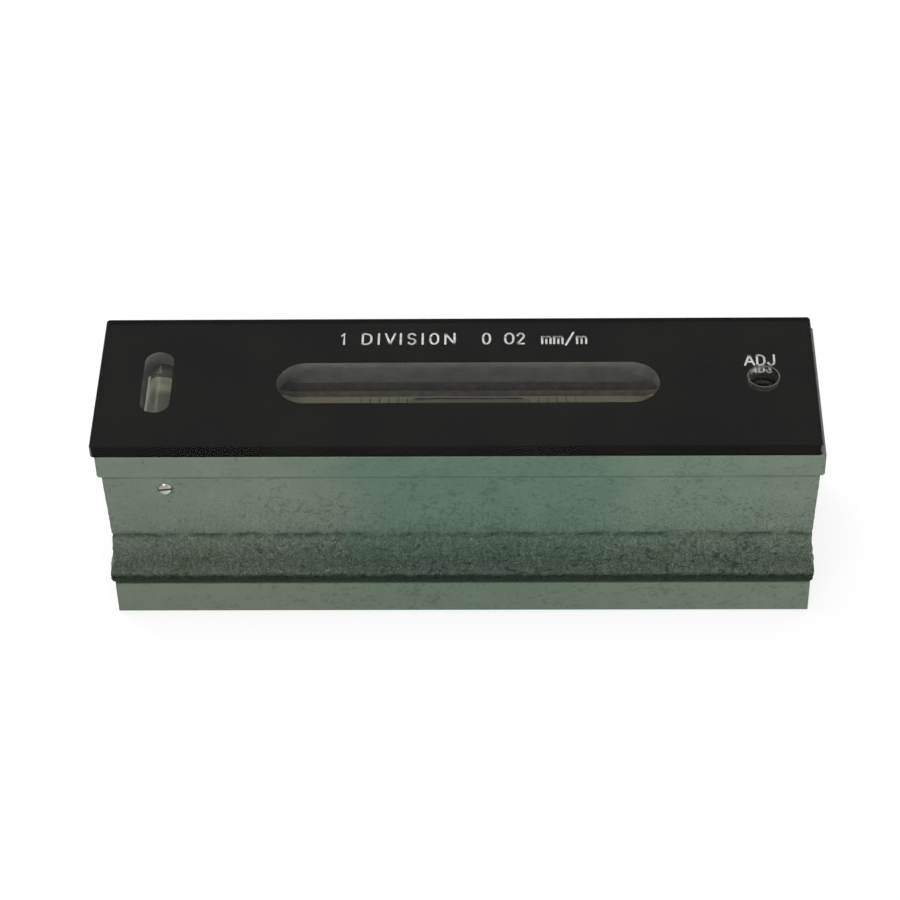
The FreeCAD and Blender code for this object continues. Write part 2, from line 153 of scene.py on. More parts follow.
def remap(tree, value, fromLow, fromHigh, toLow=0.0, toHigh=1.0, smooth=True):
    inputs = {"Value": value, "From Min": fromLow, "From Max": fromHigh, "To Min": toLow, "To Max": toHigh}
    node = addNode(tree, "ShaderNodeMapRange", inputs)
    node.interpolation_type = "SMOOTHSTEP" if smooth else "LINEAR"
    return node.outputs["Result"]


def noise(tree, vector, size, detail=3.0, rough=0.55, distortion=0.0):
    inputs = {"Vector": vector, "Scale": 1 / size, "Detail": detail, "Roughness": rough, "Distortion": distortion}
    return addNode(tree, "ShaderNodeTexNoise", inputs).outputs[0]


def stretched(tree, vector, scale):
    return addNode(tree, "ShaderNodeVectorMath", {0: vector, 1: scale}, operation="MULTIPLY").outputs[0]


def srgb(red, green, blue):
    # display values from 0 to 255, as the linear colour that shaders take
    def linear(value):
        value /= 255
        return value / 12.92 if value <= 0.04045 else ((value + 0.055) / 1.055) ** 2.4
    return (linear(red), linear(green), linear(blue), 1.0)


def newMaterial(name, **sockets):
    material = bpy.data.materials.new(name)
    material.use_nodes = True
    tree = material.node_tree
    shader = tree.nodes["Principled BSDF"]
    for key, value in sockets.items():
        shader.inputs[key.replace("_", " ")].default_value = value
    place = addNode(tree, "ShaderNodeTexCoord").outputs["Object"]
    return material, tree, shader, place


def mixColour(tree, factor, first, second):
    node = addNode(tree, "ShaderNodeMix", data_type="RGBA")
    for index, value in ((0, factor), (6, first), (7, second)):
        if isinstance(value, bpy.types.NodeSocket):
            tree.links.new(value, node.inputs[index])
        else:
            node.inputs[index].default_value = value
    return node.outputs[2]


def addBump(tree, shader, height, strength, distance):
    inputs = {"Height": height, "Strength": strength, "Distance": distance}
    bump = addNode(tree, "ShaderNodeBump", inputs)
    tree.links.new(bump.outputs[0], shader.inputs["Normal"])


# ---------- sizes of the casting ----------
casting = {
    "sideHeight": 9.25 * mm,      # machined side of the base
    "beadHeight": 5.9 * mm,
    "beadProud": 0.9 * mm,
    "endBeadProud": 0.8 * mm,
    "flareHeight": 5.6 * mm,
    "waistInset": 3.2 * mm,
    "endDraft": 0.5 * mm,
    "step": 0.55 * mm,            # of the mesh along the level
    "rise": 0.5 * mm,             # and up it, where it is plain
    "cornerRound": 0.45 * mm,
    "spare": 1.0 * mm,            # past the machined faces, which the frame's own shape cuts
    "skin": 0.04 * mm,
    "lumpDepth": 0.2 * mm,
    "lumpSize": 2.4 * mm,
    "wrinkleDepth": 0.2 * mm,
    "wrinkleSize": 1.7 * mm,
    "creaseDepth": 0.3 * mm,
    "creaseWidth": 0.35 * mm,
    "creaseWander": 2.2 * mm,
    "seed": 7.0,
}


# ---------- finishes ----------
paint = {
    "grey": srgb(102, 112, 100),       # faded stretches near the ends
    "green": srgb(80, 104, 90),        # fuller colour in the middle
    "right": srgb(95, 112, 98),
    "olive": srgb(88, 102, 76),        # a yellower cast along the bead
    "base": srgb(93, 102, 87),         # browner on the machined side
    "dark": srgb(36, 50, 36),          # where it lies thick between the wrinkles, and painted shade in the crease, under the rim and under the bead
    "roughness": (0.38, 0.5),
    "wrinkle": 1.1 * mm,
    "fleck": 1.3 * mm,
    "grain": 0.3 * mm,
}


def makeGreenPaint():
    material, tree, shader, place = newMaterial("greenEnamel")
    rough = addNode(tree, "ShaderNodeAttribute", attribute_name="castRough").outputs["Fac"]
    shade = addNode(tree, "ShaderNodeAttribute", attribute_name="castShade").outputs["Fac"]
    split = addNode(tree, "ShaderNodeSeparateXYZ", {0: place})
    wander = math2(tree, "SUBTRACT", noise(tree, place, 22 * mm, 3.0), 0.5)
    alongX = math2(tree, "ADD", split.outputs[0], math2(tree, "MULTIPLY", wander, 0.05))
    middle = remap(tree, alongX, -0.04, -0.014)
    colour = mixColour(tree, middle, paint["grey"], paint["green"])
    colour = mixColour(tree, remap(tree, alongX, 0.02, 0.05), colour, paint["right"])
    colour = mixColour(tree, remap(tree, alongX, 0.05, 0.085), colour, paint["grey"])
    patch = remap(tree, noise(tree, place, 6 * mm, 3.0, 0.6), 0.48, 0.68)
    tint = math2(tree, "MULTIPLY", patch, math2(tree, "MULTIPLY", remap(tree, rough, 0.5, 1.0), 0.6))
    colour = mixColour(tree, tint, colour, paint["olive"])
    wrinkle = noise(tree, stretched(tree, place, (1.3, 1, 0.8)), paint["wrinkle"], 3.0, 0.6, 1.8)
    blots = noise(tree, stretched(tree, place, (0.7, 1, 1)), paint["fleck"], 2.0, 0.55, 1.4)
    crowd = remap(tree, noise(tree, place, 11 * mm, 2.0), 0.3, 0.7, 0.04, -0.05)
    crowd = math2(tree, "ADD", crowd, remap(tree, split.outputs[0], -0.07, -0.01, -0.05, 0.0))
    flecks = remap(tree, math2(tree, "ADD", blots, crowd), 0.53, 0.66)
    # darker in flecks and where castRough is high (bead and flare); castShade adds painted shade toward the dark
    # colour
    darkPaintAndShade = math2(tree, "MULTIPLY", flecks, math2(tree, "ADD", math2(tree, "MULTIPLY", rough, 0.42), 0.24))
    darkPaintAndShade = math2(tree, "ADD", darkPaintAndShade, math2(tree, "MULTIPLY", remap(tree, rough, 0.45, 0.9), 0.14))
    darkPaintAndShade = math2(tree, "MAXIMUM", darkPaintAndShade, math2(tree, "MULTIPLY", shade, 0.9))
    lowDown = math2(tree, "MULTIPLY", math2(tree, "LESS_THAN", split.outputs[2], casting["sideHeight"]), 0.55)
    colour = mixColour(tree, lowDown, colour, paint["base"])
    colour = mixColour(tree, darkPaintAndShade, colour, paint["dark"])
    cloud = remap(tree, noise(tree, place, 7 * mm, 3.0), 0.3, 0.7, 0.95, 1.04)
    tone = addNode(tree, "ShaderNodeVectorMath", {0: colour}, operation="SCALE")
    tree.links.new(cloud, tone.inputs["Scale"])
    tree.links.new(tone.outputs[0], shader.inputs["Base Color"])
    low, high = paint["roughness"]
    gloss = remap(tree, noise(tree, place, 5 * mm, 2.0), 0.3, 0.7, low, high)
    gloss = math2(tree, "SUBTRACT", gloss, math2(tree, "MULTIPLY", rough, 0.2))
    tree.links.new(gloss, shader.inputs["Roughness"])
    shine = math2(tree, "ADD", math2(tree, "MULTIPLY", math2(tree, "MULTIPLY", rough, rough), 0.45), 0.2)
    shine = math2(tree, "MULTIPLY", shine, math2(tree, "SUBTRACT", 1.0, math2(tree, "MULTIPLY", shade, 0.9)))
    tree.links.new(shine, shader.inputs["Specular IOR Level"])
    grain = noise(tree, place, paint["grain"], 2.0, 0.5)
    level = math2(tree, "ADD", math2(tree, "MULTIPLY", math2(tree, "MULTIPLY", rough, rough), 1.0), 0.04)
    height = math2(tree, "MULTIPLY", math2(tree, "ADD", wrinkle, math2(tree, "MULTIPLY", grain, 0.3)), level)
    addBump(tree, shader, height, 1.0, 2.4 * mm)
    return material


def makeGroundSteel():
    material, tree, shader, place = newMaterial("groundSteel", Metallic=1.0)
    lines = noise(tree, stretched(tree, place, (0.02, 1, 1)), 0.12 * mm, 3.0, 0.7)
    patch = noise(tree, place, 8 * mm, 3.0)
    colour = mixColour(tree, remap(tree, patch, 0.35, 0.7), srgb(150, 150, 146), srgb(118, 117, 112))
    tree.links.new(colour, shader.inputs["Base Color"])
    tree.links.new(remap(tree, lines, 0.3, 0.7, 0.24, 0.42), shader.inputs["Roughness"])
    addBump(tree, shader, lines, 0.3, 0.01 * mm)
    return material


def makeMilledIron(name, light, dark, metallic=0.55):
    material, tree, shader, place = newMaterial(name, Metallic=metallic)
    marks = noise(tree, stretched(tree, place, (0.5, 0.5, 0.06)), 0.3 * mm, 2.0, 0.6)
    patch = noise(tree, place, 3 * mm, 4.0)
    tree.links.new(mixColour(tree, remap(tree, patch, 0.3, 0.7), light, dark), shader.inputs["Base Color"])
    tree.links.new(remap(tree, marks, 0.3, 0.7, 0.4, 0.62), shader.inputs["Roughness"])
    addBump(tree, shader, marks, 0.4, 0.02 * mm)
    return material


def makePlateFinish(green):
    # the rim is painted outside, and its slots are left as milled
    material = green.copy()
    material.name = "paintedPlate"
    tree = material.node_tree
    shader = tree.nodes["Principled BSDF"]
    place = tree.nodes["Texture Coordinate"].outputs["Object"]
    split = addNode(tree, "ShaderNodeSeparateXYZ", {0: place})
    inX = math2(tree, "LESS_THAN", math2(tree, "ABSOLUTE", split.outputs[0]), plateHigh.x - 4 * mm)
    inY = math2(tree, "LESS_THAN", math2(tree, "ABSOLUTE", split.outputs[1]), plateHigh.y - 4 * mm)
    inside = math2(tree, "MULTIPLY", inX, inY)
    old = shader.inputs["Base Color"].links[0].from_socket
    patch = remap(tree, noise(tree, place, 3 * mm, 4.0), 0.3, 0.7)
    bare = mixColour(tree, patch, srgb(84, 82, 79), srgb(72, 71, 69))
    warm = math2(tree, "LESS_THAN", split.outputs[0], crossLow.x + crossHigh.x + 54 * mm)
    bare = mixColour(tree, warm, bare, srgb(108, 98, 89))
    tree.links.new(mixColour(tree, inside, old, bare), shader.inputs["Base Color"])
    return material


def makeBlackPrint():
    material, tree, shader, place = newMaterial("blackPrint", Roughness=0.6, Specular_IOR_Level=0.0)
    cloud = remap(tree, noise(tree, place, 20 * mm, 2.0), 0.3, 0.7)
    colour = mixColour(tree, cloud, srgb(15, 14, 14), srgb(19, 19, 17))
    cells = addNode(tree, "ShaderNodeTexVoronoi", {"Vector": place, "Scale": 1 / (9 * mm)}, voronoi_dimensions="2D")
    speck = math2(tree, "LESS_THAN", cells.outputs["Distance"], 0.014)
    draw = addNode(tree, "ShaderNodeSeparateColor", {0: cells.outputs["Color"]}).outputs[0]
    chosen = math2(tree, "GREATER_THAN", draw, 0.88)
    colour = mixColour(tree, math2(tree, "MULTIPLY", speck, chosen), colour, srgb(86, 84, 78))
    tree.links.new(colour, shader.inputs["Base Color"])
    return material


def makeInk():
    material, tree, shader, place = newMaterial("letterInk", Roughness=0.6, Specular_IOR_Level=0.0)
    worn = remap(tree, noise(tree, place, 0.5 * mm, 3.0), 0.35, 0.65)
    tree.links.new(mixColour(tree, worn, srgb(176, 176, 172), srgb(206, 206, 202)), shader.inputs["Base Color"])
    return material


def makeClear(name, colour, ior, dull=0.0, scratches=0.0):
    # clear stock that lamps shine through, so that what lies under it is lit; dull is the share with no mirror
    material, tree, shader, place = newMaterial(name, Base_Color=colour, IOR=ior, Transmission_Weight=1.0,
                                                Roughness=0.0)
    if scratches:
        lines = noise(tree, stretched(tree, place, (0.08, 1, 1)), 0.5 * mm, 3.0, 0.6)
        addBump(tree, shader, lines, scratches, 0.01 * mm)
    out = tree.nodes["Material Output"]
    lamp = addNode(tree, "ShaderNodeLightPath").outputs["Is Shadow Ray"]
    through = addNode(tree, "ShaderNodeBsdfTransparent", {"Color": colour})
    plain = addNode(tree, "ShaderNodeBsdfRefraction", {"Color": colour, "IOR": ior, "Roughness": 0.0})
    less = addNode(tree, "ShaderNodeMixShader", {0: dull, 1: shader.outputs[0], 2: plain.outputs[0]})
    less.name = "less"
    both = addNode(tree, "ShaderNodeMixShader", {0: lamp, 1: less.outputs[0], 2: through.outputs[0]})
    tree.links.new(both.outputs[0], out.inputs["Surface"])
    return material


def makeCover():
    # polished faces, duller where it was sawn round the edge and bored for the key
    material = makeClear("clearAcrylic", (0.97, 0.98, 0.97, 1), 1.49, 0.0, 0.03)
    tree = material.node_tree
    shader = tree.nodes["Principled BSDF"]
    place = tree.nodes["Texture Coordinate"].outputs["Object"]
    split = addNode(tree, "ShaderNodeSeparateXYZ", {0: place}).outputs
    edge = 0.05 * mm
    sawn = math2(tree, "GREATER_THAN", split[0], coverHigh.x - edge)
    for side in (math2(tree, "LESS_THAN", split[0], coverLow.x + edge),
                 math2(tree, "GREATER_THAN", split[1], coverHigh.y - edge),
                 math2(tree, "LESS_THAN", split[1], coverLow.y + edge)):
        sawn = math2(tree, "MAXIMUM", sawn, side)
    screwLow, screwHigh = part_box("adj_screw")
    keyX, keyY = (screwLow.x + screwHigh.x) / 2, (vialLow.y + vialHigh.y) / 2
    away = addNode(tree, "ShaderNodeVectorMath", {0: place, 1: (keyX, keyY, 0)}, operation="SUBTRACT").outputs[0]
    flat = stretched(tree, away, (1, 1, 0))
    reach = addNode(tree, "ShaderNodeVectorMath", {0: flat}, operation="LENGTH").outputs["Value"]
    bored = math2(tree, "LESS_THAN", reach, 3.4 * mm)
    tree.links.new(math2(tree, "MULTIPLY", sawn, 0.9), tree.nodes["less"].inputs[0])
    tree.links.new(math2(tree, "MULTIPLY", bored, 0.4), shader.inputs["Roughness"])
    return material


def makeCarrierFinish():
    # a dull turned tube, with the plaster that beds the vial in its bore
    material = makeTurnedMetal("dullBronze", srgb(98, 94, 88), srgb(78, 75, 70), 0.5, 0.35)
    tree = material.node_tree
    shader = tree.nodes["Principled BSDF"]
    place = tree.nodes["Texture Coordinate"].outputs["Object"]
    axis = (vialLow + vialHigh) / 2
    away = addNode(tree, "ShaderNodeVectorMath", {0: place, 1: tuple(axis)}, operation="SUBTRACT").outputs[0]
    across = stretched(tree, away, (0, 1, 1))
    reach = addNode(tree, "ShaderNodeVectorMath", {0: across}, operation="LENGTH").outputs["Value"]
    bed = math2(tree, "LESS_THAN", reach, (vialHigh.z - vialLow.z) / 2 + 0.5 * mm)
    tone = remap(tree, noise(tree, stretched(tree, place, (1, 0.2, 0.2)), 14 * mm, 3.0), 0.35, 0.65)
    cream = mixColour(tree, tone, srgb(232, 229, 210), srgb(234, 218, 202))
    old = shader.inputs["Base Color"].links[0].from_socket
    tree.links.new(mixColour(tree, bed, old, cream), shader.inputs["Base Color"])
    tree.links.new(math2(tree, "SUBTRACT", 0.35, math2(tree, "MULTIPLY", bed, 0.35)), shader.inputs["Metallic"])
    return material


def makeTurnedMetal(name, light, dark, roughness, metallic=1.0):
    material, tree, shader, place = newMaterial(name, Metallic=metallic)
    marks = noise(tree, place, 0.25 * mm, 3.0, 0.65)
    patch = noise(tree, place, 2 * mm, 3.0)
    tree.links.new(mixColour(tree, remap(tree, patch, 0.35, 0.65), light, dark), shader.inputs["Base Color"])
    tree.links.new(remap(tree, marks, 0.3, 0.7, roughness * 0.8, roughness * 1.25), shader.inputs["Roughness"])
    addBump(tree, shader, marks, 0.25, 0.02 * mm)
    return material


greenEnamel = makeGreenPaint()
finish = {
    "plate": makePlateFinish(greenEnamel),
    "ground": makeGroundSteel(),
    "pocket": makeMilledIron("milledIron", srgb(96, 92, 86), srgb(74, 71, 67)),
    "print": makeBlackPrint(),
    "ink": makeInk(),
    # painted highlight: light colours for the ring round the key hole
    "edge": makeMilledIron("brokenEdgeHighlight", srgb(104, 101, 92), srgb(72, 70, 64), 0.0),
    "acrylic": makeCover(),
    "vialGlass": makeClear("vialGlass", (0.99, 0.99, 0.985, 1), 1.47, 0.8),
    "spirit": makeClear("paleSpirit", (0.97, 0.98, 0.93, 1), 1.37, 0.8),
    "bubble": makeClear("vapourBubble", (1, 1, 1, 1), 0.9, 0.6),
    "carrier": makeCarrierFinish(),
    "bronze": makeTurnedMetal("bronzeBlock", srgb(120, 108, 88), srgb(92, 82, 66), 0.45, 0.8),
    "steel": makeTurnedMetal("turnedSteel", srgb(186, 186, 180), srgb(150, 150, 145), 0.34),
    "blackScrew": makeTurnedMetal("blackOxide", srgb(58, 57, 54), srgb(38, 37, 35), 0.4, 0.7),
    "wire": makeTurnedMetal("springWire", srgb(150, 150, 150), srgb(120, 120, 120), 0.3),
    "holder": makeMilledIron("milledHolder", srgb(150, 146, 141), srgb(132, 128, 123), 0.0),
    "plaster": makeMilledIron("setPlaster", srgb(205, 196, 174), srgb(184, 174, 152), 0.0),
}
print("finishes made")

cadFinish = {
    "top_plate": "plate", "top_plate_screws": "blackScrew", "cover_plate": "acrylic",
    "main_vial": "vialGlass", "main_vial_discs": "vialGlass", "vial_packings": "plaster",
    "vial_carrier": "carrier", "pivot_block": "bronze", "adjusting_block": "bronze",
    "front_pivot_screw": "steel", "rear_pivot_screw": "steel",
    "adj_screw": "blackScrew", "adj_screw_bush": "blackScrew", "adj_spring": "wire",
    "cross_vial_discs": "vialGlass", "cross_vial_holder": "holder",
}
for node, name in cadFinish.items():
    for slot in nodes[node].material_slots:
        slot.material = finish[name]


# ---------- painted casting ----------
def castRows():
    # (z, half width, half length, roughness, shade) from below the base to above the waist; shade is painted shade,
    # darkest on the lower part of the bead that faces down
    halfY = castHigh.y - casting["beadProud"]
    halfX = castHigh.x - casting["endBeadProud"]
    side, bead = casting["sideHeight"], casting["beadHeight"]
    foot, top = side + bead + casting["flareHeight"], castHigh.z

    def bulge(z, proud):
        radius = (proud ** 2 + (bead / 2) ** 2) / (2 * proud)
        return math.sqrt(max(0.0, radius ** 2 - (z - side - bead / 2) ** 2)) - radius + proud

    def levels(low, high, gap):
        count = round((high - low) / gap)
        return [low + (high - low) * k / count for k in range(count)]

    rise, rows = casting["rise"], []
    for z in levels(-casting["spare"], side, rise):
        rows.append((z, halfY, halfX, 0.12, 0.0))
    for z in levels(side, side + bead, rise * 0.45):
        share = (z - side) / bead
        # painted shade on the lower 45 % of the bead, which faces down, fading out above it
        shade = 1.0 if share < 0.45 else max(0.0, 1 - (share - 0.45) / 0.2)
        rows.append((z, halfY + bulge(z, casting["beadProud"]), halfX + bulge(z, casting["endBeadProud"]),
                     0.35 + 0.65 * min(1.0, share / 0.3), shade))
    for z in levels(side + bead, foot, rise * 0.6):
        share = (z - side - bead) / casting["flareHeight"]
        rows.append((z, halfY - casting["waistInset"] * share, halfX, 1.0 - 0.5 * share, 0.0))
    for z in levels(foot, foot + 2 * mm, rise * 0.5) + levels(foot + 2 * mm, top + casting["spare"], rise):
        share = (z - foot) / (top - foot)
        rows.append((z, halfY - casting["waistInset"], halfX + casting["endDraft"] * share, 0.45 - 0.3 * share, 0.0))
    return rows


def castLoop(halfX, halfY, countX, countY, corner=4):
    # a rounded rectangle seen from above; every row has the same number of points
    edge = casting["cornerRound"]
    straightX, straightY = halfX - edge, halfY - edge
    loop = []
    for quarter, (middleX, middleY) in enumerate(((1, -1), (1, 1), (-1, 1), (-1, -1))):
        for k in range(corner):
            turn = math.radians(-90 + 90 * quarter + 90 * k / corner)
            loop.append((middleX * straightX + edge * math.cos(turn), middleY * straightY + edge * math.sin(turn)))
        if quarter in (0, 2):
            x = halfX if quarter == 0 else -halfX
            sign = 1 if quarter == 0 else -1
            loop += [(x, sign * (-straightY + 2 * straightY * k / countY)) for k in range(countY)]
        else:
            y = halfY if quarter == 1 else -halfY
            sign = -1 if quarter == 1 else 1
            loop += [(sign * (-straightX + 2 * straightX * k / countX), y) for k in range(countX)]
    return loop


def castDisplacement():
    # node tree that sinks the swept surface: lumps, wrinkles and the crease along the foot of the waist; it also
    # stores castShade, painted shade along the crease, under the rim and on the bead's underside
    tree = bpy.data.node_groups.new("castSurface", "GeometryNodeTree")
    face = tree.interface
    face.new_socket("Geometry", in_out="INPUT", socket_type="NodeSocketGeometry")
    face.new_socket("Geometry", in_out="OUTPUT", socket_type="NodeSocketGeometry")
    for label in ("lumpDepth", "lumpSize", "wrinkleDepth", "wrinkleSize", "creaseDepth", "creaseWidth",
                  "creaseWander", "creaseHeight", "skin", "seed"):
        face.new_socket(label, in_out="INPUT", socket_type="NodeSocketFloat")
    face.new_socket("finish", in_out="INPUT", socket_type="NodeSocketMaterial")
    source = tree.nodes.new("NodeGroupInput").outputs
    place = addNode(tree, "GeometryNodeInputPosition").outputs[0]
    split = addNode(tree, "ShaderNodeSeparateXYZ", {0: place}).outputs
    rough = addNode(tree, "GeometryNodeInputNamedAttribute", {"Name": "castRough"}).outputs[0]

    def waves(vector, size, detail, rough3=0.55, distortion=0.0):
        scale = math2(tree, "DIVIDE", 1.0, size)
        inputs = {"Vector": vector, "W": source["seed"], "Scale": scale, "Detail": detail, "Roughness": rough3,
                  "Distortion": distortion}
        return addNode(tree, "ShaderNodeTexNoise", inputs, noise_dimensions="4D").outputs[0]

    lump = waves(place, source["lumpSize"], 3.0)
    lump = math2(tree, "MULTIPLY", remap(tree, lump, 0.3, 0.7), source["lumpDepth"])
    warp = addNode(tree, "ShaderNodeTexNoise", {"Vector": place, "Scale": 500.0, "Detail": 1.0}).outputs["Color"]
    warp = addNode(tree, "ShaderNodeVectorMath", {0: warp, 1: (0.5, 0.5, 0.5)}, operation="SUBTRACT").outputs[0]
    warp = addNode(tree, "ShaderNodeVectorMath", {0: warp}, operation="SCALE")
    tree.links.new(source["wrinkleSize"], warp.inputs["Scale"])
    bent = addNode(tree, "ShaderNodeVectorMath", {0: place, 1: warp.outputs[0]}, operation="ADD").outputs[0]
    cellInputs = {"Vector": bent, "Scale": math2(tree, "DIVIDE", 1.0, source["wrinkleSize"])}
    cells = addNode(tree, "ShaderNodeTexVoronoi", cellInputs, feature="DISTANCE_TO_EDGE").outputs["Distance"]
    valley = math2(tree, "MULTIPLY", remap(tree, cells, 0.28, 0.0), source["wrinkleDepth"])
    sink = math2(tree, "MULTIPLY", math2(tree, "ADD", lump, valley), rough)

    lineX = addNode(tree, "ShaderNodeCombineXYZ", {0: split[0], 1: 0.0, 2: 0.0}).outputs[0]
    wander = math2(tree, "SUBTRACT", waves(lineX, 0.007, 4.0, 0.65), 0.5)
    middle = math2(tree, "ADD", source["creaseHeight"], math2(tree, "MULTIPLY", wander, source["creaseWander"]))
    away = math2(tree, "DIVIDE", math2(tree, "SUBTRACT", split[2], middle), source["creaseWidth"])
    fall = math2(tree, "EXPONENT", math2(tree, "MULTIPLY", math2(tree, "MULTIPLY", away, away), -1.0))
    broken = remap(tree, waves(place, 0.004, 3.0), 0.38, 0.62)
    strand = math2(tree, "SUBTRACT", waves(lineX, 0.0045, 5.0, 0.7), 0.42)
    strand = math2(tree, "MULTIPLY", strand, source["creaseWander"])
    astray = math2(tree, "DIVIDE", math2(tree, "SUBTRACT", math2(tree, "ADD", split[2], strand), middle),
                   math2(tree, "MULTIPLY", source["creaseWidth"], 0.6))
    second = math2(tree, "EXPONENT", math2(tree, "MULTIPLY", math2(tree, "MULTIPLY", astray, astray), -1.0))
    second = math2(tree, "MULTIPLY", second, remap(tree, waves(place, 0.0025, 3.0), 0.45, 0.6))
    # painted shadow of the rim's overhang, a band along the top of the waist
    corner = remap(tree, split[2], castHigh.z - 1.95 * mm, castHigh.z - 1.4 * mm)
    corner = math2(tree, "MULTIPLY", corner, remap(tree, waves(lineX, 0.01, 4.0), 0.3, 0.7, 0.35, 0.75))
    crease = math2(tree, "MULTIPLY", math2(tree, "MULTIPLY", fall, broken), source["creaseDepth"])
    total = math2(tree, "ADD", math2(tree, "ADD", sink, crease), source["skin"])
    # painted shade: the bead's underside from the rows, and a soft band with dark strands along the crease
    paintedBeadShade = addNode(tree, "GeometryNodeInputNamedAttribute", {"Name": "castShade"}).outputs[0]
    wide = math2(tree, "EXPONENT", math2(tree, "MULTIPLY", math2(tree, "MULTIPLY", away, away), -0.06))
    lines = math2(tree, "MAXIMUM", math2(tree, "MULTIPLY", fall, broken), math2(tree, "MULTIPLY", second, 0.8))
    dark = math2(tree, "ADD", math2(tree, "MULTIPLY", wide, 0.26), math2(tree, "MULTIPLY", lines, 0.6))
    shade = math2(tree, "MAXIMUM", math2(tree, "MAXIMUM", paintedBeadShade, dark), corner)
    normal = addNode(tree, "GeometryNodeInputNormal").outputs[0]
    offset = addNode(tree, "ShaderNodeVectorMath", {0: normal}, operation="SCALE")
    tree.links.new(math2(tree, "MULTIPLY", total, -1.0), offset.inputs["Scale"])
    moved = addNode(tree, "GeometryNodeSetPosition", {"Geometry": source["Geometry"], "Offset": offset.outputs[0]})
    marked = addNode(tree, "GeometryNodeStoreNamedAttribute",
                     {"Geometry": moved.outputs[0], "Name": "castShade", "Value": shade}, domain="POINT")
    real = addNode(tree, "GeometryNodeRealizeInstances", {"Geometry": marked.outputs[0]})
    coated = addNode(tree, "GeometryNodeSetMaterial", {"Geometry": real.outputs[0], "Material": source["finish"]})
    tree.links.new(coated.outputs[0], tree.nodes.new("NodeGroupOutput").inputs[0])
    return tree


def setInputs(modifier, values):
    # by the socket's identifier
    for item in modifier.node_group.interface.items_tree:
        if item.item_type == "SOCKET" and item.in_out == "INPUT" and item.name in values:
            modifier[item.identifier] = values[item.name]


def makePaintedCasting():
    rows = castRows()
    halfX, halfY = castHigh.x, castHigh.y
    countX, countY = round(2 * halfX / casting["step"]), round(2 * halfY / casting["step"])
    points = []
    for z, across, along, rough, shade in rows:
        points += [(x, y, z) for x, y in castLoop(along, across, countX, countY)]
    count = len(points) // len(rows)
    faces = [tuple(range(count))[::-1], tuple(range((len(rows) - 1) * count, len(rows) * count))]
    for i in range(len(rows) - 1):
        for k in range(count):
            after = (k + 1) % count
            faces.append((i * count + k, i * count + after, (i + 1) * count + after, (i + 1) * count + k))
    body = meshObject("paintedCasting", points, faces)
    tidyMesh(body.data, 40)
    for label, column in (("castRough", 3), ("castShade", 4)):
        layer = body.data.attributes.new(label, "FLOAT", "POINT")
        layer.data.foreach_set("value", np.repeat([row[column] for row in rows], count).astype(np.float32))
    surface = body.modifiers.new("castSurface", "NODES")
    surface.node_group = castDisplacement()
    values = {key: value for key, value in casting.items() if isinstance(value, float)}
    values["creaseHeight"] = casting["sideHeight"] + casting["beadHeight"] + casting["flareHeight"]
    values["finish"] = greenEnamel
    setInputs(surface, values)
    core = copyOfNode("castCore", "body_casting")
    core.data.materials.append(greenEnamel)
    cut = body.modifiers.new("castCore", "BOOLEAN")
    cut.operation, cut.solver, cut.object = "INTERSECT", "MANIFOLD", core
    bakeModifiers(body)
    bpy.data.objects.remove(core)
    return body


def finishCasting(body):
    # ground lands and groove, and a bare pocket; the rest is painted
    mesh = body.data
    mesh.materials.clear()
    for material in (greenEnamel, finish["ground"], finish["pocket"]):
        mesh.materials.append(material)
    waist = castHigh.y - casting["beadProud"] - casting["waistInset"]
    halfX = castHigh.x - casting["endBeadProud"]
    grooveHigh = 7.2 * mm
    for face in mesh.polygons:
        middle = face.center
        underside = middle.z < 0.3 * mm or (middle.z < grooveHigh and abs(middle.y) < 11.2 * mm
                                            and abs(middle.x) < halfX - 0.1 * mm)
        inPocket = (middle.z > grooveHigh and abs(middle.y) < waist - 0.6 * mm
                    and abs(middle.x) < halfX - 1 * mm)
        face.material_index = 1 if underside else 2 if inPocket else 0


paintedCasting = makePaintedCasting()
tidyMesh(paintedCasting.data, 38)
finishCasting(paintedCasting)
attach(paintedCasting, "level_body")
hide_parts("body_casting")
print("casting:", len(paintedCasting.data.polygons), "faces", list(paintedCasting.data.attributes.keys()))


# ---------- black print under the cover ----------
printed = {"lift": 0.006 * mm, "clear": 0.01 * mm}     # into the cover, and off the plate


def makeBlackSheet():
    sheet = copyOfNode("blackSheet", "cover_mask")
    low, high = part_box("cover_mask")
    for vertex in sheet.data.vertices:
        vertex.co.z = high.z + printed["lift"] if vertex.co.z > (low.z + high.z) / 2 else low.z + printed["clear"]
    sheet.data.materials.append(finish["print"])
    return sheet


blackSheet = makeBlackSheet()
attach(blackSheet, "level_body")
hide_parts("cover_mask")
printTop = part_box("cover_mask")[1].z + printed["lift"]


# ---------- edge of the key hole, with a painted highlight ---
def makeKeyRing():
    # the broken edge of the hole, an opaque ring coloured light as a painted highlight where the edge catches the
    # light
    low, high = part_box("adj_screw")
    centre = Vector(((low.x + high.x) / 2, (low.y + high.y) / 2, coverHigh.z))
    inner, width, deep = 3.27 * mm, 0.16 * mm, 0.12 * mm
    profile = [(-deep, inner), (-0.01 * mm, inner), (-0.01 * mm, inner + width), (-deep, inner + 0.02 * mm)]
    ring = turnedSolid("keyHoleEdgeHighlight", profile, "z", centre, 72)
    ring.data.materials.append(finish["edge"])
    return ring


keyHoleEdgeHighlight = makeKeyRing()
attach(keyHoleEdgeHighlight, "level_body")


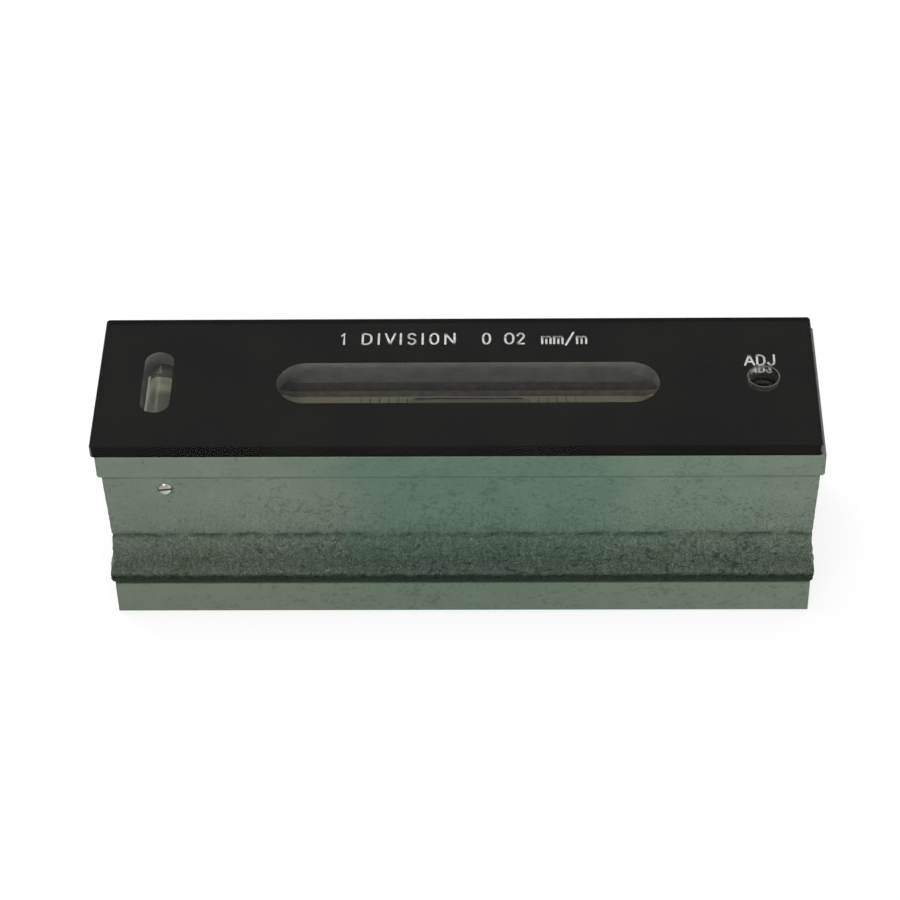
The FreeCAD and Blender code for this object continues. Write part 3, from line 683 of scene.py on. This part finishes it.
# ---------- lettering ----------
lettering = {
    "stroke": 0.45 * mm,
    "thickness": 0.01 * mm,
    "rows": [                     # foot, height of the centre lines, and (letter, left edge, width) in mm
        (13.3 * mm, 3.3 * mm, [("1", -25.97, 0.95), ("D", -21.46, 2.3), ("I", -18.0, 0.45), ("V", -16.51, 2.45),
                               ("I", -13.26, 0.45), ("S", -11.6, 1.95), ("I", -8.53, 0.45), ("O", -6.87, 2.15),
                               ("N", -3.61, 2.4), ("0", 4.5, 1.95), (".", 7.05, 0.45), ("0", 9.28, 2.2),
                               ("2", 11.95, 1.8), ("m", 17.24, 2.25), ("m", 19.82, 2.25), ("/", 22.35, 2.1),
                               ("m", 24.76, 2.4)]),
        (6.2 * mm, 3.1 * mm, [("A", 60.43, 2.4), ("D", 63.05, 2.0), ("J", 65.33, 1.8)]),
    ],
}


def arcPoints(x, y, radiusX, radiusY, start, end, count=9):
    turns = [math.radians(start + (end - start) * k / count) for k in range(count + 1)]
    return [(x + radiusX * math.cos(t), y + radiusY * math.sin(t)) for t in turns]


def letterStrokes(letter):
    # centre lines in a box one wide and one high
    arch = arcPoints(0.25, 0.48, 0.25, 0.18, 180, 0, 7)
    letters = {
        "1": [[(0.0, 0.82), (1.0, 1.0), (1.0, 0.0)]],
        "I": [[(0.5, 0.0), (0.5, 1.0)]],
        "D": [[(0.0, 0.0), (0.0, 1.0)],
              [(0.0, 1.0)] + arcPoints(0.35, 0.62, 0.65, 0.38, 90, 0, 6) + arcPoints(0.35, 0.38, 0.65, 0.38, 0, -90, 6)
              + [(0.0, 0.0)]],
        "V": [[(0.0, 1.0), (0.5, 0.0)], [(0.5, 0.0), (1.0, 1.0)]],
        "N": [[(0.0, 0.0), (0.0, 1.0)], [(0.0, 1.0), (1.0, 0.0)], [(1.0, 0.0), (1.0, 1.0)]],
        "A": [[(0.0, 0.0), (0.5, 1.0)], [(0.5, 1.0), (1.0, 0.0)], [(0.18, 0.33), (0.82, 0.33)]],
        "J": [[(1.0, 1.0), (1.0, 0.3)] + arcPoints(0.5, 0.3, 0.5, 0.3, 0, -165, 8)],
        "O": [arcPoints(0.5, 0.6, 0.5, 0.4, 180, 0, 9) + arcPoints(0.5, 0.4, 0.5, 0.4, 0, -180, 9) + [(0.0, 0.6)]],
        "S": [arcPoints(0.5, 0.76, 0.5, 0.24, 25, 180, 7) + arcPoints(0.5, 0.76, 0.5, 0.26, 180, 262, 4)
              + arcPoints(0.5, 0.25, 0.5, 0.25, 80, 0, 4) + arcPoints(0.5, 0.25, 0.5, 0.25, 0, -155, 7)],
        "2": [arcPoints(0.5, 0.74, 0.5, 0.26, 170, -25, 9) + [(0.0, 0.0)], [(0.0, 0.0), (1.0, 0.0)]],
        "m": [[(0.0, 0.0), (0.0, 0.66)], arch + [(0.5, 0.0)], [(u + 0.5, v) for u, v in arch] + [(1.0, 0.0)]],
        "/": [[(0.0, -0.14), (1.0, 1.06)]],
        ".": [[(0.45, 0.0), (0.55, 0.0)]],
    }
    return letters["O" if letter == "0" else letter]


def inkTree():
    # each stroke is a flat bar with round ends and joints
    tree = bpy.data.node_groups.new("inkStrokes", "GeometryNodeTree")
    face = tree.interface
    face.new_socket("Geometry", in_out="INPUT", socket_type="NodeSocketGeometry")
    face.new_socket("Geometry", in_out="OUTPUT", socket_type="NodeSocketGeometry")
    for label in ("stroke", "thickness"):
        face.new_socket(label, in_out="INPUT", socket_type="NodeSocketFloat")
    face.new_socket("finish", in_out="INPUT", socket_type="NodeSocketMaterial")
    source = tree.nodes.new("NodeGroupInput").outputs
    upright = addNode(tree, "GeometryNodeSetCurveNormal", {"Curve": source["Geometry"]})
    upright.mode = "Z_UP"
    bar = addNode(tree, "GeometryNodeCurvePrimitiveQuadrilateral",
                  {"Width": source["stroke"], "Height": source["thickness"]})
    swept = addNode(tree, "GeometryNodeCurveToMesh",
                    {"Curve": upright.outputs[0], "Profile Curve": bar.outputs[0], "Fill Caps": True})
    points = addNode(tree, "GeometryNodeCurveToPoints", {"Curve": upright.outputs[0]}, mode="EVALUATED")
    dot = addNode(tree, "GeometryNodeMeshCylinder",
                  {"Vertices": 14, "Radius": math2(tree, "MULTIPLY", source["stroke"], 0.5),
                   "Depth": math2(tree, "MULTIPLY", source["thickness"], 1.1)})
    dots = addNode(tree, "GeometryNodeInstanceOnPoints", {"Points": points.outputs[0], "Instance": dot.outputs[0]})
    both = addNode(tree, "GeometryNodeJoinGeometry")
    tree.links.new(dots.outputs[0], both.inputs[0])
    tree.links.new(swept.outputs[0], both.inputs[0])
    real = addNode(tree, "GeometryNodeRealizeInstances", {"Geometry": both.outputs[0]})
    inked = addNode(tree, "GeometryNodeSetMaterial", {"Geometry": real.outputs[0], "Material": source["finish"]})
    tree.links.new(inked.outputs[0], tree.nodes.new("NodeGroupOutput").inputs[0])
    return tree


def makeLettering():
    curve = bpy.data.curves.new("letterLines", "CURVE")
    curve.dimensions = "3D"
    height = printTop + lettering["thickness"] / 2
    stroke = lettering["stroke"]
    for foot, high, letters in lettering["rows"]:
        for letter, left, wide in letters:
            for line in letterStrokes(letter):
                spline = curve.splines.new("POLY")
                spline.points.add(len(line) - 1)
                for point, (u, v) in zip(spline.points, line):
                    x = left * mm + stroke / 2 + u * max(wide * mm - stroke, 0.02 * mm)
                    point.co = (x, foot + v * high, height, 1)
    lines = linkObject(bpy.data.objects.new("letterLines", curve))
    modifier = lines.modifiers.new("inkStrokes", "NODES")
    modifier.node_group = inkTree()
    setInputs(modifier, {**lettering, "finish": finish["ink"]})
    graph = bpy.context.evaluated_depsgraph_get()
    letters = linkObject(bpy.data.objects.new("coverLettering", bpy.data.meshes.new_from_object(
        lines.evaluated_get(graph))))
    bpy.data.objects.remove(lines)
    tidyMesh(letters.data, 30)
    return letters


coverLettering = makeLettering()
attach(coverLettering, "level_body")
print("lettering:", len(coverLettering.data.polygons), "faces")


# ---------- vials ----------
mainVial = {"wall": 1.3 * mm, "bubbleLength": 26.0 * mm, "bubbleDrop": 1.2 * mm, "overlap": 0.01 * mm, "steps": 96}
crossVial = {"wall": 0.8 * mm, "bubbleLength": 8.5 * mm, "bubbleDrop": 0.8 * mm, "overlap": 0.01 * mm, "steps": 72}


def makeTube(name, low, high, axis, sizes):
    centre = (low + high) / 2
    length = (high - low)["xyz".index(axis)]
    radius = (high.z - low.z) / 2
    bore = radius - sizes["wall"]
    edge = 0.15 * mm
    profile = [(-length / 2, bore), (-length / 2, radius - edge), (-length / 2 + edge, radius),
               (length / 2 - edge, radius), (length / 2, radius - edge), (length / 2, bore)]
    return turnedSolid(name, profile, axis, centre, sizes["steps"])


def makeLiquid(name, low, high, axis, sizes, discs):
    centre = (low + high) / 2
    reach = (discs[1] - discs[0])["xyz".index(axis)] / 2
    radius = (high.z - low.z) / 2 - sizes["wall"] + sizes["overlap"]
    profile = [(-reach, 0), (-reach, radius), (reach, radius), (reach, 0)]
    return turnedSolid(name, profile, axis, centre, sizes["steps"])


def makeBubble(name, low, high, axis, sizes, stations=56, across=18):
    # under the crown of the bore, with round ends and a slightly dished underside
    centre = (low + high) / 2
    bore = (high.z - low.z) / 2 - sizes["wall"] - 0.04 * mm
    halfChord = math.acos((bore - sizes["bubbleDrop"]) / bore)
    endRadius = bore * math.sin(halfChord)
    half = sizes["bubbleLength"] / 2
    points, rings = [], []
    for i in range(stations + 1):
        turn = math.pi * i / stations
        along = -math.cos(turn) * half
        beyond = max(0.0, abs(along) - (half - endRadius)) / endRadius
        spread = halfChord * math.sqrt(max(0.0, 1 - beyond ** 2))
        if i in (0, stations):
            rings.append([len(points)])
            points.append((along, 0.0, bore))
            continue
        ring = []
        for k in range(across + 1):
            angle = -spread + 2 * spread * k / across
            ring.append((along, bore * math.sin(angle), bore * math.cos(angle)))
        floor = bore * math.cos(spread)
        for k in range(1, across):
            share = 1 - 2 * k / across
            dish = (1 - share ** 2) * 0.12 * (bore - floor)
            ring.append((along, bore * math.sin(spread) * share, floor + dish * 0.5))
        rings.append(list(range(len(points), len(points) + len(ring))))
        points.extend(ring)
    faces = []
    for near, far in zip(rings[:-1], rings[1:]):
        size = max(len(near), len(far))
        for k in range(size):
            after = (k + 1) % size
            if len(near) == 1:
                faces.append((near[0], far[k], far[after]))
            elif len(far) == 1:
                faces.append((near[k], near[after], far[0]))
            else:
                faces.append((near[k], near[after], far[after], far[k]))
    if axis == "y":
        points = [(side, along, up) for along, side, up in points]
    obj = meshObject(name, [centre + Vector(p) for p in points], faces)
    tidyMesh(obj.data, 60)
    return obj


graduation = {"first": 13.0 * mm, "pitch": 2.0 * mm, "count": 6, "width": 0.16 * mm, "reach": 26.0, "sink": 0.01 * mm}


def graduationTree():
    # a thin line curved over the crown of the vial, set out on both sides of the middle
    tree = bpy.data.node_groups.new("vialGraduation", "GeometryNodeTree")
    face = tree.interface
    face.new_socket("Geometry", in_out="INPUT", socket_type="NodeSocketGeometry")
    face.new_socket("Geometry", in_out="OUTPUT", socket_type="NodeSocketGeometry")
    for label in ("first", "pitch", "width", "radius", "reach"):
        face.new_socket(label, in_out="INPUT", socket_type="NodeSocketFloat")
    face.new_socket("count", in_out="INPUT", socket_type="NodeSocketInt")
    face.new_socket("centre", in_out="INPUT", socket_type="NodeSocketVector")
    face.new_socket("finish", in_out="INPUT", socket_type="NodeSocketMaterial")
    source = tree.nodes.new("NodeGroupInput").outputs
    sweep = math2(tree, "MULTIPLY", source["reach"], math.radians(2.0))
    start = math2(tree, "SUBTRACT", math.pi / 2, math2(tree, "MULTIPLY", sweep, 0.5))
    arc = addNode(tree, "GeometryNodeCurveArc", {"Resolution": 24, "Radius": source["radius"], "Start Angle": start,
                                                 "Sweep Angle": sweep})
    upright = addNode(tree, "GeometryNodeTransform", {"Geometry": arc.outputs[0],
                                                      "Rotation": (math.pi / 2, 0.0, math.pi / 2)})
    thread = addNode(tree, "GeometryNodeCurvePrimitiveCircle", {"Resolution": 6})
    tree.links.new(math2(tree, "MULTIPLY", source["width"], 0.5), thread.inputs["Radius"])
    line = addNode(tree, "GeometryNodeCurveToMesh",
                   {"Curve": upright.outputs[0], "Profile Curve": thread.outputs[0], "Fill Caps": True})
    step = addNode(tree, "ShaderNodeCombineXYZ", {0: source["pitch"]}).outputs[0]
    sides = []
    for sign in (1.0, -1.0):
        first = addNode(tree, "ShaderNodeCombineXYZ", {0: math2(tree, "MULTIPLY", source["first"], sign)}).outputs[0]
        begin = addNode(tree, "ShaderNodeVectorMath", {0: source["centre"], 1: first}, operation="ADD").outputs[0]
        move = stretched(tree, step, (sign, sign, sign))
        row = addNode(tree, "GeometryNodeMeshLine",
                      {"Count": source["count"], "Start Location": begin, "Offset": move})
        sides.append(addNode(tree, "GeometryNodeInstanceOnPoints",
                             {"Points": row.outputs[0], "Instance": line.outputs[0]}).outputs[0])
    both = addNode(tree, "GeometryNodeJoinGeometry")
    for side in sides:
        tree.links.new(side, both.inputs[0])
    real = addNode(tree, "GeometryNodeRealizeInstances", {"Geometry": both.outputs[0]})
    inked = addNode(tree, "GeometryNodeSetMaterial", {"Geometry": real.outputs[0], "Material": source["finish"]})
    tree.links.new(inked.outputs[0], tree.nodes.new("NodeGroupOutput").inputs[0])
    return tree


def makeGraduation():
    centre = (vialLow + vialHigh) / 2
    radius = (vialHigh.z - vialLow.z) / 2
    lines = meshObject("vialGraduation", [(0, 0, 0)], [])
    modifier = lines.modifiers.new("vialGraduation", "NODES")
    modifier.node_group = graduationTree()
    setInputs(modifier, {**graduation, "centre": tuple(centre), "radius": radius - graduation["sink"],
                         "finish": finish["blackScrew"]})
    bakeModifiers(lines)
    tidyMesh(lines.data, 40)
    return lines


mainTube = makeTube("mainVialTube", vialLow, vialHigh, "x", mainVial)
mainSpirit = makeLiquid("mainVialSpirit", vialLow, vialHigh, "x", mainVial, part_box("main_liquid"))
mainBubble = makeBubble("mainVialBubble", vialLow, vialHigh, "x", mainVial)
vialGraduation = makeGraduation()
crossTube = makeTube("crossVialTube", crossLow, crossHigh, "y", crossVial)
crossSpirit = makeLiquid("crossVialSpirit", crossLow, crossHigh, "y", crossVial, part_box("cross_liquid"))
crossBubble = makeBubble("crossVialBubble", crossLow, crossHigh, "y", crossVial, 40, 14)
for piece, body, node, slot, name in (
        (mainTube, "carrier", "main_vial", "vial_glass", "vialGlass"),
        (mainSpirit, "carrier", "main_liquid", "spirit", "spirit"),
        (mainBubble, "main_bubble", "main_bubble", "bubble", "bubble"),
        (crossTube, "level_body", "cross_vial", "vial_glass", "vialGlass"),
        (crossSpirit, "level_body", "cross_liquid", "spirit", "spirit"),
        (crossBubble, "cross_bubble", "cross_bubble", "bubble", "bubble")):
    piece.data.materials.append(finish[name])
    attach(piece, body)
    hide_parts(node)
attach(vialGraduation, "carrier")
print("vials made")


# ---------- floor, lamps and camera ----------
studio = {
    "target": Vector((-2.7, 5.2, 22.6)) * mm,
    "distance": 649.0 * mm,
    "azimuth": 1.82,
    "elevation": 44.0,
    "roll": -1.45,
    "lens": 118.54,
    "floorSize": 6.0,
    "soft": 0.2,                  # light of the world on the level
}


def aim(obj, target):
    obj.rotation_mode = "QUATERNION"
    obj.rotation_quaternion = (target - obj.location).to_track_quat("-Z", "Y")


def makeCamera():
    data = bpy.data.cameras.new("camera")
    data.lens = studio["lens"]
    data.sensor_width = 36.0
    data.clip_start, data.clip_end = 0.01, 20.0
    camera = linkObject(bpy.data.objects.new("camera", data))
    azimuth, elevation = math.radians(studio["azimuth"]), math.radians(studio["elevation"])
    back = Vector((math.sin(azimuth) * math.cos(elevation), -math.cos(azimuth) * math.cos(elevation),
                   math.sin(elevation)))
    camera.location = studio["target"] + back * studio["distance"]
    aim(camera, studio["target"])
    turn = Quaternion((0, 0, 1), math.radians(studio["roll"]))
    camera.rotation_quaternion = camera.rotation_quaternion @ turn
    bpy.context.scene.camera = camera


def makeLamp(name, place, target, width, height, power):
    data = bpy.data.lights.new(name, "AREA")
    data.shape = "RECTANGLE"
    data.size, data.size_y = width, height
    data.energy = power
    lamp = linkObject(bpy.data.objects.new(name, data))
    lamp.location = Vector(place)
    aim(lamp, Vector(target))


def seenRays(tree):
    # 1 for rays that show the background: straight from the camera, mirrored or through glass
    path = addNode(tree, "ShaderNodeLightPath").outputs
    seen = math2(tree, "MAXIMUM", path["Is Camera Ray"], path["Is Glossy Ray"])
    return math2(tree, "MAXIMUM", seen, path["Is Transmission Ray"])


def makeFloor():
    half = studio["floorSize"] / 2
    corners = [(-half, -half, 0), (half, -half, 0), (half, half, 0), (-half, half, 0)]
    floor = meshObject("floor", corners, [(0, 1, 2, 3)])
    material, tree, shader, place = newMaterial("floorPaper", Roughness=0.9, Specular_IOR_Level=0.1)
    shader.inputs["Base Color"].default_value = (0.22, 0.22, 0.22, 1)
    glow = addNode(tree, "ShaderNodeEmission", {"Color": (1, 1, 1, 1)})
    tree.links.new(math2(tree, "MULTIPLY", seenRays(tree), 0.82), glow.inputs["Strength"])
    both = addNode(tree, "ShaderNodeAddShader", {0: shader.outputs[0], 1: glow.outputs[0]})
    tree.links.new(both.outputs[0], tree.nodes["Material Output"].inputs["Surface"])
    floor.data.materials.append(material)


def makeWorld():
    world = bpy.data.worlds.new("studio")
    bpy.context.scene.world = world
    world.use_nodes = True
    tree = world.node_tree
    ground = tree.nodes["Background"]
    direction = addNode(tree, "ShaderNodeTexCoord").outputs["Generated"]
    up = addNode(tree, "ShaderNodeSeparateXYZ", {0: direction}).outputs[2]
    overhead = remap(tree, up, 0.1, 0.45, 1.0, 0.22)
    path = addNode(tree, "ShaderNodeLightPath").outputs
    shown = math2(tree, "MAXIMUM", overhead, path["Is Camera Ray"])
    strength = addNode(tree, "ShaderNodeMix", {0: seenRays(tree), 2: studio["soft"], 3: shown}).outputs[0]
    ground.inputs["Color"].default_value = (1, 1, 1, 1)
    tree.links.new(strength, ground.inputs["Strength"])


makeCamera()
makeFloor()
makeWorld()
makeLamp("frontSoft", (-0.3, -0.8, 0.6), (0, 0, 0.02), 0.45, 0.35, 3.6)
makeLamp("lowRight", (0.26, -0.78, 0.1), (0.02, 0, 0.015), 0.3, 0.12, 4.4)
makeLamp("overhead", (0.0, 0.12, 1.0), (0, 0, 0.04), 0.7, 0.5, 5.0)
makeLamp("rearFill", (-0.6, 0.6, 0.5), (0, 0, 0.02), 0.5, 0.5, 3.0)
bpy.context.scene.view_settings.view_transform = "Standard"
print("studio ready")
